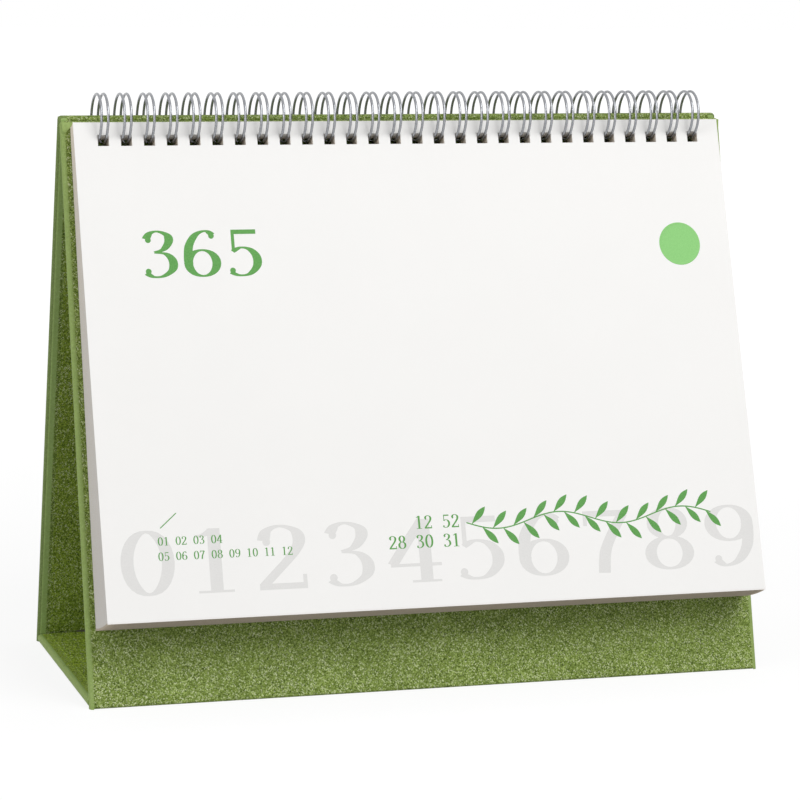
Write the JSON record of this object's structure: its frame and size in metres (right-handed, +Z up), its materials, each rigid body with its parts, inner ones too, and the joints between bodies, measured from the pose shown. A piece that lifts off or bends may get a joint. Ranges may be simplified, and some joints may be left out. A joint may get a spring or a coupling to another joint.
{
  "type": "desk calendar",
  "caption": "Free-standing easel desk calendar: paper-covered board easel with a folding base, and card leaves that turn over a twin-loop binding wire.",
  "frame": {"origin": "middle of the footprint on the table: half way along the easel, half way between the cover's lower edge and the easel's back edge", "axes": "+X along the easel, to the right as the reader sees it; +Y to the back, away from the reader; +Z up"},
  "size_m": [0.257, 0.1146, 0.2146],
  "materials": {
    "cover_paper": "fine green glitter paper, satin with sparkle",
    "lining_paper": "the same green glitter paper on the inner faces",
    "greyboard": "grey bookbinding board, hidden inside the paper",
    "leaf_card": "warm white matt card",
    "wire": "bright nickel-coloured round wire"
  },
  "bodies": {
    "easel_front": {"front_board": "greyboard", "front_cover_paper": "cover_paper", "front_lining": "lining_paper", "front_crease": "cover_paper", "binding_wire": "wire"},
    "easel_back": {"back_board": "greyboard", "back_cover_paper": "cover_paper", "back_lining": "lining_paper", "rear_crease": "cover_paper"},
    "base_front": {"base_front_board": "greyboard", "base_front_cover_paper": "cover_paper", "base_front_lining": "lining_paper", "mid_crease": "cover_paper"},
    "base_rear": {"base_rear_board": "greyboard", "base_rear_cover_paper": "cover_paper", "base_rear_lining": "lining_paper"},
    "back_leaf": {"back_leaf": "leaf_card"},
    "planner_leaf": {"planner_leaf": "leaf_card"},
    "month_leaf_12": {"month_leaf_12": "leaf_card"},
    "month_leaf_11": {"month_leaf_11": "leaf_card"},
    "month_leaf_10": {"month_leaf_10": "leaf_card"},
    "month_leaf_09": {"month_leaf_09": "leaf_card"},
    "month_leaf_08": {"month_leaf_08": "leaf_card"},
    "month_leaf_07": {"month_leaf_07": "leaf_card"},
    "month_leaf_06": {"month_leaf_06": "leaf_card"},
    "month_leaf_05": {"month_leaf_05": "leaf_card"},
    "month_leaf_04": {"month_leaf_04": "leaf_card"},
    "month_leaf_03": {"month_leaf_03": "leaf_card"},
    "month_leaf_02": {"month_leaf_02": "leaf_card"},
    "month_leaf_01": {"month_leaf_01": "leaf_card"},
    "title_leaf": {"title_leaf": "leaf_card"},
    "cover_leaf": {"cover_leaf": "leaf_card"}
  },
  "joints": [
    {"name": "base_fold", "type": "hinge", "parent": "easel_front", "child": "base_front", "pos_m": [0, -0.04073, 0.0032], "axis": [1, 0, 0], "range_deg": [0, 40], "deforming": ["mid_crease"]},
    {"name": "back_swing", "type": "hinge", "parent": "easel_front", "child": "easel_back", "pos_m": [0, 0.01094, 0.20513], "axis": [-1, 0, 0], "range_deg": [0, 5.55]},
    {"name": "base_rear_fold", "type": "hinge", "parent": "easel_back", "child": "base_rear", "pos_m": [0, 0.05349, 0.0032], "axis": [-1, 0, 0], "range_deg": [0, 40.2]},
    {"name": "back_turn", "type": "hinge", "parent": "easel_front", "child": "back_leaf", "pos_m": [0, 0.01094, 0.20513], "axis": [-1, 0, 0], "range_deg": [0, 11.97]},
    {"name": "planner_turn", "type": "hinge", "parent": "easel_front", "child": "planner_leaf", "pos_m": [0, 0.01094, 0.20513], "axis": [-1, 0, 0], "range_deg": [0, 23.85]},
    {"name": "month_12_turn", "type": "hinge", "parent": "easel_front", "child": "month_leaf_12", "pos_m": [0, 0.01094, 0.20513], "axis": [-1, 0, 0], "range_deg": [0, 35.73]},
    {"name": "month_11_turn", "type": "hinge", "parent": "easel_front", "child": "month_leaf_11", "pos_m": [0, 0.01094, 0.20513], "axis": [-1, 0, 0], "range_deg": [0, 47.6]},
    {"name": "month_10_turn", "type": "hinge", "parent": "easel_front", "child": "month_leaf_10", "pos_m": [0, 0.01094, 0.20513], "axis": [-1, 0, 0], "range_deg": [0, 59.48]},
    {"name": "month_09_turn", "type": "hinge", "parent": "easel_front", "child": "month_leaf_09", "pos_m": [0, 0.01094, 0.20513], "axis": [-1, 0, 0], "range_deg": [0, 71.35]},
    {"name": "month_08_turn", "type": "hinge", "parent": "easel_front", "child": "month_leaf_08", "pos_m": [0, 0.01094, 0.20513], "axis": [-1, 0, 0], "range_deg": [0, 83.22]},
    {"name": "month_07_turn", "type": "hinge", "parent": "easel_front", "child": "month_leaf_07", "pos_m": [0, 0.01094, 0.20513], "axis": [-1, 0, 0], "range_deg": [0, 95.1]},
    {"name": "month_06_turn", "type": "hinge", "parent": "easel_front", "child": "month_leaf_06", "pos_m": [0, 0.01094, 0.20513], "axis": [-1, 0, 0], "range_deg": [0, 106.97]},
    {"name": "month_05_turn", "type": "hinge", "parent": "easel_front", "child": "month_leaf_05", "pos_m": [0, 0.01094, 0.20513], "axis": [-1, 0, 0], "range_deg": [0, 118.85]},
    {"name": "month_04_turn", "type": "hinge", "parent": "easel_front", "child": "month_leaf_04", "pos_m": [0, 0.01094, 0.20513], "axis": [-1, 0, 0], "range_deg": [0, 130.72]},
    {"name": "month_03_turn", "type": "hinge", "parent": "easel_front", "child": "month_leaf_03", "pos_m": [0, 0.01094, 0.20513], "axis": [-1, 0, 0], "range_deg": [0, 142.6]},
    {"name": "month_02_turn", "type": "hinge", "parent": "easel_front", "child": "month_leaf_02", "pos_m": [0, 0.01094, 0.20513], "axis": [-1, 0, 0], "range_deg": [0, 154.47]},
    {"name": "month_01_turn", "type": "hinge", "parent": "easel_front", "child": "month_leaf_01", "pos_m": [0, 0.01094, 0.20513], "axis": [-1, 0, 0], "range_deg": [0, 166.35]},
    {"name": "title_turn", "type": "hinge", "parent": "easel_front", "child": "title_leaf", "pos_m": [0, 0.01094, 0.20513], "axis": [-1, 0, 0], "range_deg": [0, 178.22]},
    {"name": "cover_turn", "type": "hinge", "parent": "easel_front", "child": "cover_leaf", "pos_m": [0, 0.01094, 0.20513], "axis": [-1, 0, 0], "range_deg": [0, 190]}
  ],
  "couplings": [
    {"joint": "back_swing", "follows": "base_fold", "ratio": 0.1375},
    {"joint": "base_rear_fold", "follows": "base_fold", "ratio": 1},
    {"joint": "back_turn", "follows": "cover_turn", "ratio": 0.0625},
    {"joint": "planner_turn", "follows": "cover_turn", "ratio": 0.125},
    {"joint": "month_12_turn", "follows": "cover_turn", "ratio": 0.1875},
    {"joint": "month_11_turn", "follows": "cover_turn", "ratio": 0.25},
    {"joint": "month_10_turn", "follows": "cover_turn", "ratio": 0.3125},
    {"joint": "month_09_turn", "follows": "cover_turn", "ratio": 0.375},
    {"joint": "month_08_turn", "follows": "cover_turn", "ratio": 0.4375},
    {"joint": "month_07_turn", "follows": "cover_turn", "ratio": 0.5},
    {"joint": "month_06_turn", "follows": "cover_turn", "ratio": 0.5625},
    {"joint": "month_05_turn", "follows": "cover_turn", "ratio": 0.625},
    {"joint": "month_04_turn", "follows": "cover_turn", "ratio": 0.6875},
    {"joint": "month_03_turn", "follows": "cover_turn", "ratio": 0.75},
    {"joint": "month_02_turn", "follows": "cover_turn", "ratio": 0.8125},
    {"joint": "month_01_turn", "follows": "cover_turn", "ratio": 0.875},
    {"joint": "title_turn", "follows": "cover_turn", "ratio": 0.9375}
  ]
}
